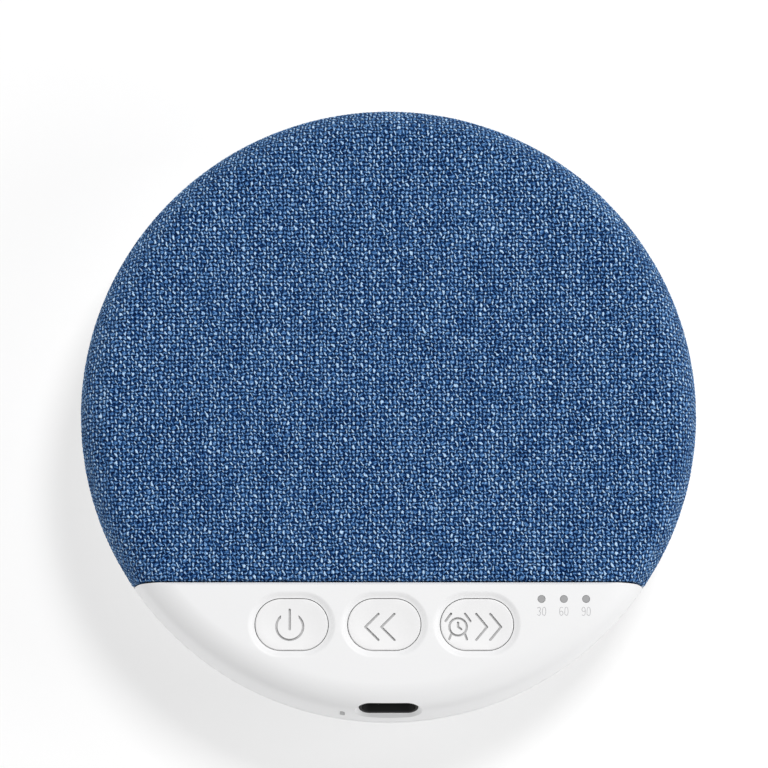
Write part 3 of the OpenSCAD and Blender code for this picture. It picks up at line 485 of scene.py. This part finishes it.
def front_profile(s):
    """Radius, height and angle of the outward direction on the front, at distances s from its middle."""
    corner = math.pi / 2 - (s - FLAT_R) / CORNER_R
    side = TURN - (s - FLAT_R - CORNER_ARC) / SIDE_R
    on_flat, on_corner = s < FLAT_R, s < FLAT_R + CORNER_ARC
    radius = np.where(on_flat, s, np.where(on_corner, FLAT_R + CORNER_R * np.cos(corner),
                                           BODY_R - SIDE_R + SIDE_R * np.cos(side)))
    height = np.where(on_flat, FRONT_Z, np.where(on_corner, FRONT_Z - CORNER_R + CORNER_R * np.sin(corner),
                                                 FRONT_Z - FRONT_DEPTH + SIDE_R * np.sin(side)))
    angle = np.where(on_flat, math.pi / 2, np.where(on_corner, corner, side))
    return radius, height, angle


def on_front(flat):
    """Places on the front for places on the flat cut, and the outward directions there."""
    s = np.maximum(np.hypot(flat[:, 0], flat[:, 1]), 1e-9)
    radius, height, angle = front_profile(s)
    ray = flat / s[:, None]
    places = np.column_stack([ray * radius[:, None], height])
    outward = np.column_stack([ray * np.cos(angle)[:, None], np.sin(angle)])
    return places, outward


# The cloth's outer face ends where its hem starts to roll in, at the seam and along the panel
SEAM_S = FLAT_R + CORNER_ARC + SIDE_R * (TURN - SEAM_ANGLE) - HEM_ROLL
LINE_END_Y = LINE_Y + LINE_GAP + HEM_ROLL


def room_left(flat):
    """Distances left to the seam and to the panel's line, negative past them."""
    places, _ = on_front(flat)
    return SEAM_S - np.hypot(flat[:, 0], flat[:, 1]), places[:, 1] - LINE_END_Y


def to_edge(flat):
    """Moves places on the flat cut onto the nearer of the two edges."""
    for _ in range(EDGE_ROUNDS):
        seam, line = room_left(flat)
        s = np.hypot(flat[:, 0], flat[:, 1])
        at_seam = seam < line
        flat = np.where(at_seam[:, None], flat * ((s + seam) / s)[:, None],
                        flat - np.column_stack([np.zeros_like(line), line]))
    return flat


def cloth_cut():
    """Flat cut of the cloth on a grid of half a yarn's pitch: places and faces, trimmed at both edges."""
    count = int(SEAM_S / CLOTH_STEP) + 2
    ticks = np.arange(-count, count + 1) * CLOTH_STEP
    flat = np.column_stack([a.ravel() for a in np.meshgrid(ticks, ticks)])
    room = np.minimum(*room_left(flat))
    near = np.abs(room) < EDGE_SNAP
    flat[near] = to_edge(flat[near])
    room[near] = 0
    inside = room >= 0
    width = len(ticks)
    places, faces, cuts, used = list(flat), [], {}, {}

    def crossing(a, b):
        key = (min(a, b), max(a, b))
        if key not in cuts:
            share = room[a] / (room[a] - room[b])
            cuts[key] = len(places)
            places.append(to_edge((flat[a] + share * (flat[b] - flat[a]))[None])[0])
        return cuts[key]

    for j in range(width - 1):
        for i in range(width - 1):
            corners = [j * width + i, j * width + i + 1, (j + 1) * width + i + 1, (j + 1) * width + i]
            if not inside[corners].any():
                continue
            face = []
            for a, b in zip(corners, corners[1:] + corners[:1]):
                if inside[a]:
                    face.append(a)
                if room[a] * room[b] < 0:
                    face.append(crossing(a, b))
            if len(face) > 2 and not (room[[k for k in face if k < len(room)]] == 0).all():
                faces.append(face)
    for face in faces:
        for k in face:
            used.setdefault(k, len(used))
    return np.array([places[k] for k in used]), [[used[k] for k in face] for face in faces]


def hem_rings(flat, places, outward):
    """Hem beside edge places: for each step of its roll, places on the flat cut and places in the model."""
    seam, line = room_left(flat)
    ray = flat / np.hypot(flat[:, 0], flat[:, 1])[:, None]
    at_seam = (np.abs(seam) < EDGE_NEAR)[:, None]
    at_line = (np.abs(line) < EDGE_NEAR)[:, None]
    in_line = np.column_stack([outward[:, 0], np.zeros(len(flat)), outward[:, 2]])
    in_line /= np.linalg.norm(in_line, axis=1)[:, None]
    in_seam = np.column_stack([ray, np.zeros(len(flat))])
    for step in HEM_STEPS:
        turn = min(step, 1.0) * math.pi / 2
        along = HEM_ROLL * math.sin(turn)
        deep = HEM_ROLL * (1 - math.cos(turn)) + max(0.0, step - 1.0) * HEM_DEPTH
        length = HEM_ROLL * turn + max(0.0, step - 1.0) * HEM_DEPTH
        place = places + at_line * (np.array([0, -along, 0]) - in_line * deep)
        place = place + at_seam * (np.array([0, 0, -along]) - in_seam * deep)
        yield flat + at_line * np.array([0, -length]) + at_seam * ray * length, place


def woven_relief():
    """Node tree that lifts the cloth along its outward direction: up on each crown, down between the yarns."""
    tree = bpy.data.node_groups.new("woven_relief", "GeometryNodeTree")
    sockets = tree.interface
    sockets.new_socket("Geometry", in_out="INPUT", socket_type="NodeSocketGeometry")
    for name in ("Pitch", "Relief", "Slub", "Seed"):
        sockets.new_socket(name, in_out="INPUT", socket_type="NodeSocketFloat")
    sockets.new_socket("Material", in_out="INPUT", socket_type="NodeSocketMaterial")
    sockets.new_socket("Geometry", in_out="OUTPUT", socket_type="NodeSocketGeometry")
    given = add_node(tree, "NodeGroupInput").outputs
    weave = add_node(tree, "GeometryNodeInputNamedAttribute", {"Name": "weave"},
                     data_type="FLOAT_VECTOR").outputs[0]
    cells = yarn_cells(tree, weave, math_node(tree, "DIVIDE", 1.0, given["Pitch"]))
    turned = vector_node(tree, "SCALE", cells, 2 * math.pi)
    angles = add_node(tree, "ShaderNodeSeparateXYZ", {0: turned}).outputs
    waves = math_node(tree, "ADD", math_node(tree, "COSINE", angles[0]), math_node(tree, "COSINE", angles[1]))
    slub = add_node(tree, "ShaderNodeTexNoise", {
        "Vector": weave, "W": given["Seed"], "Scale": SLUB_SCALE, "Detail": 1.0},
                    noise_dimensions="4D").outputs[0]
    lift = math_node(tree, "MULTIPLY_ADD", slub, given["Slub"], math_node(tree, "MULTIPLY", waves, -0.5))
    lift = math_node(tree, "MULTIPLY", lift, given["Relief"])
    normal = add_node(tree, "GeometryNodeInputNormal").outputs[0]
    offset = vector_node(tree, "SCALE", normal, lift)
    lifted = add_node(tree, "GeometryNodeSetPosition", {"Geometry": given["Geometry"], "Offset": offset})
    plain = add_node(tree, "GeometryNodeRealizeInstances", {"Geometry": lifted.outputs[0]})
    dressed = add_node(tree, "GeometryNodeSetMaterial", {
        "Geometry": plain.outputs[0], "Material": given["Material"]})
    add_node(tree, "NodeGroupOutput", {"Geometry": dressed.outputs[0]})
    return tree


def run_tree(piece, tree, values):
    """Gives an object a node tree with the values of its named inputs, and returns the plain mesh."""
    modifier = piece.modifiers.new(tree.name, "NODES")
    modifier.node_group = tree
    for item in tree.interface.items_tree:
        if item.in_out == "INPUT" and item.name in values:
            modifier[item.identifier] = values[item.name]
    return baked_mesh(piece)


def flat_area(flat, faces):
    """Area of the flat cut."""
    total = 0.0
    for face in faces:
        x, y = flat[face].T
        total += 0.5 * abs(np.dot(x, np.roll(y, 1)) - np.dot(y, np.roll(x, 1)))
    return total


def cloth_cover():
    """Cloth stretched over the grille, its hem rolled in at the seam and along the panel."""
    flat, faces = cloth_cut()
    places, outward = on_front(flat)
    build = bmesh.new()
    uv = build.loops.layers.uv.new("weave")
    verts = [build.verts.new(p) for p in places]
    weave = dict(zip(verts, flat))
    for face in faces:
        build.faces.new([verts[k] for k in face])
    edge_loops = [edge.link_loops[0] for edge in build.edges if edge.is_boundary]
    edges = [(loop.vert, loop.link_loop_next.vert) for loop in edge_loops]
    row = {v: k for k, v in enumerate(verts)}
    rim = sorted({v for edge in edges for v in edge}, key=row.get)
    picks = [row[v] for v in rim]
    last = dict(zip(rim, rim))
    for ring_flat, ring_places in hem_rings(flat[picks], places[picks], outward[picks]):
        ring = {v: build.verts.new(p) for v, p in zip(rim, ring_places)}
        weave.update(zip(ring.values(), ring_flat))
        for a, b in edges:
            build.faces.new([last[b], last[a], ring[a], ring[b]])
        last = ring
    for face in build.faces:
        face.smooth = True
        for loop in face.loops:
            loop[uv].uv = weave[loop.vert]
    mesh = bpy.data.meshes.new("cloth_cover")
    build.to_mesh(mesh)
    build.free()
    draft = bpy.data.objects.new("cloth_draft", mesh)
    bpy.context.scene.collection.objects.link(draft)
    woven = run_tree(draft, woven_relief(), {
        "Pitch": YARN_PITCH, "Relief": YARN_RELIEF, "Slub": YARN_SLUB, "Seed": float(SEED), "Material": CLOTH})
    piece = mesh_object("cloth_cover", woven, "case")
    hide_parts("fabric_cover")
    width, length = np.ptp(flat, axis=0)
    flat_area(flat, faces)


cloth_cover()


# Numerals under the timer lamps

# Strokes of each digit, on a grid 2 wide and 5 high
DIGITS = {
    "0": [[(0, 1), (0, 4), (1, 5), (2, 4), (2, 1), (1, 0), (0, 1)]],
    "3": [[(0, 4.2), (1, 5), (2, 4), (1.8, 3), (1, 2.6)], [(1, 2.6), (1.8, 2.2), (2, 1), (1, 0), (0, 0.8)]],
    "6": [[(1.9, 4.3), (1, 5), (0, 4), (0, 1), (1, 0), (2, 1), (2, 2), (1, 2.9), (0, 2)]],
    "9": [[(0.1, 0.7), (1, 0), (2, 1), (2, 4), (1, 5), (0, 4), (0, 3), (1, 2.1), (2, 3)]],
}
LAMP_PITCH = 3.42 * MM
NUMERAL_HEIGHT = 1.42 * MM
NUMERAL_WIDTH = 0.52 * MM
NUMERAL_STEP = 0.78 * MM
NUMERAL_DROP = 1.9 * MM
INK_LINE = 0.05 * MM
INK_THICK = 0.012 * MM


def printed_numerals():
    """Thin ink lines of the numbers 30, 60 and 90, laid on the panel below their lamps."""
    shell = bpy.data.objects["front_shell_piece"].data
    surface = BVHTree.FromPolygons([v.co for v in shell.vertices], [p.vertices for p in shell.polygons])
    low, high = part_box("timer_light_guide")
    middle = (low.x + high.x) / 2
    lamp_y = (low.y + high.y) / 2
    curve = bpy.data.curves.new("timer_numerals", "CURVE")
    curve.dimensions = "3D"
    curve.bevel_depth = INK_LINE
    curve.bevel_resolution = 1
    curve.use_fill_caps = True
    for lamp, number in zip((-1, 0, 1), ("30", "60", "90")):
        for place, digit in zip((-0.5, 0.5), number):
            left = middle + lamp * LAMP_PITCH + place * NUMERAL_STEP - NUMERAL_WIDTH / 2
            for stroke in DIGITS[digit]:
                spline = curve.splines.new("NURBS")
                spline.points.add(len(stroke) - 1)
                spline.use_endpoint_u = True
                spline.order_u = 3
                for point, (x, y) in zip(spline.points, stroke):
                    rise = (y / 5 - 0.5) * NUMERAL_HEIGHT
                    point.co = (left + x / 2 * NUMERAL_WIDTH, lamp_y - NUMERAL_DROP + rise, 0, 1)
    draft = bpy.data.objects.new("numeral_draft", curve)
    bpy.context.scene.collection.objects.link(draft)
    mesh = baked_mesh(draft)
    for vert in mesh.vertices:
        hit = surface.ray_cast(Vector((vert.co.x, vert.co.y, FRONT_Z + MM)), Vector((0, 0, -1)))[0]
        vert.co.z = hit.z + INK_THICK * vert.co.z / INK_LINE
    mesh.materials.clear()
    mesh.materials.append(moulded("grey_print", (0.52, 0.52, 0.53), 0.55, 0.1, 0.001, 0.94))
    mesh.shade_smooth()
    piece = mesh_object("timer_numerals", mesh, "case")


printed_numerals()


# Stage: floor, light and camera

IMAGE = 768
PHOTO_ELEVATION = math.radians(81.5)
PHOTO_DISTANCE = 1.4
PHOTO_WIDTH = 119 * MM
MIDDLE_PIXEL = (388.5, 418.5)

FLOOR_HALF = 2.0
FLOOR_GREY = (0.5, 0.5, 0.5)
FLOOR_GLOW = 0.48
SURROUNDINGS = 0.41

# Soft boxes: place, size and power in watts
LIGHTS = {
    "key": ((0.28, 0.5, 0.94), 0.3, 6.7),
    "side": ((0.8, -0.05, 0.3), 0.4, 2.4),
    "left": ((-1.0, -0.15, 0.45), 0.5, 2.2),
    "fill": ((0.25, -0.9, 0.2), 0.4, 1.2),
}


def pale_floor():
    """Plain floor that the speaker lies on, lit from below a little so that the shadow stays pale."""
    mesh = bpy.data.meshes.new("floor")
    corners = [(x * FLOOR_HALF, y * FLOOR_HALF, 0) for x, y in ((-1, -1), (1, -1), (1, 1), (-1, 1))]
    mesh.from_pydata(corners, [], [(0, 1, 2, 3)])
    finish = moulded("pale_floor", FLOOR_GREY, 0.8, 6, 0.001, 0.995, specular=0.1)
    glow = finish.node_tree.nodes["Principled BSDF"].inputs
    glow["Emission Color"].default_value = (1, 1, 1, 1)
    glow["Emission Strength"].default_value = FLOOR_GLOW
    mesh.materials.append(finish)
    floor = bpy.data.objects.new("floor", mesh)
    bpy.context.scene.collection.objects.link(floor)
    floor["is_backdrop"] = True


def soft_light(name, place, size, watts):
    """Square soft box that faces the speaker."""
    lamp = bpy.data.lights.new(name, "AREA")
    lamp.size = size
    lamp.energy = watts
    box = bpy.data.objects.new(name, lamp)
    box.location = place
    box.rotation_euler = (-Vector(place)).to_track_quat("-Z", "Y").to_euler()
    bpy.context.scene.collection.objects.link(box)


def studio():
    """Even pale surroundings, a soft key from the upper right, and low boxes from both sides and from below."""
    world = bpy.data.worlds.new("studio")
    world.use_nodes = True
    world.node_tree.nodes["Background"].inputs["Color"].default_value = (1, 1, 1, 1)
    world.node_tree.nodes["Background"].inputs["Strength"].default_value = SURROUNDINGS
    bpy.context.scene.world = world
    for name, (place, size, watts) in LIGHTS.items():
        soft_light(name, place, size, watts)
    bpy.context.scene.view_settings.view_transform = "Standard"


def photo_camera():
    """Long lens over the speaker, tilted a little to the socket's side."""
    low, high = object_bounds()
    centre = (low + high) / 2
    back = Vector((0, -math.cos(PHOTO_ELEVATION), math.sin(PHOTO_ELEVATION)))
    right = Vector((1, 0, 0))
    up = back.cross(right)
    pixel = PHOTO_WIDTH / IMAGE
    aim = centre - right * (MIDDLE_PIXEL[0] - IMAGE / 2) * pixel + up * (MIDDLE_PIXEL[1] - IMAGE / 2) * pixel
    lens = bpy.data.cameras.new("photo_camera")
    lens.lens = lens.sensor_width * PHOTO_DISTANCE / PHOTO_WIDTH
    camera = bpy.data.objects.new("photo_camera", lens)
    camera.location = aim + back * PHOTO_DISTANCE
    camera.rotation_euler = (-back).to_track_quat("-Z", "Y").to_euler()
    bpy.context.scene.collection.objects.link(camera)
    bpy.context.scene.camera = camera


pale_floor()
studio()
photo_camera()
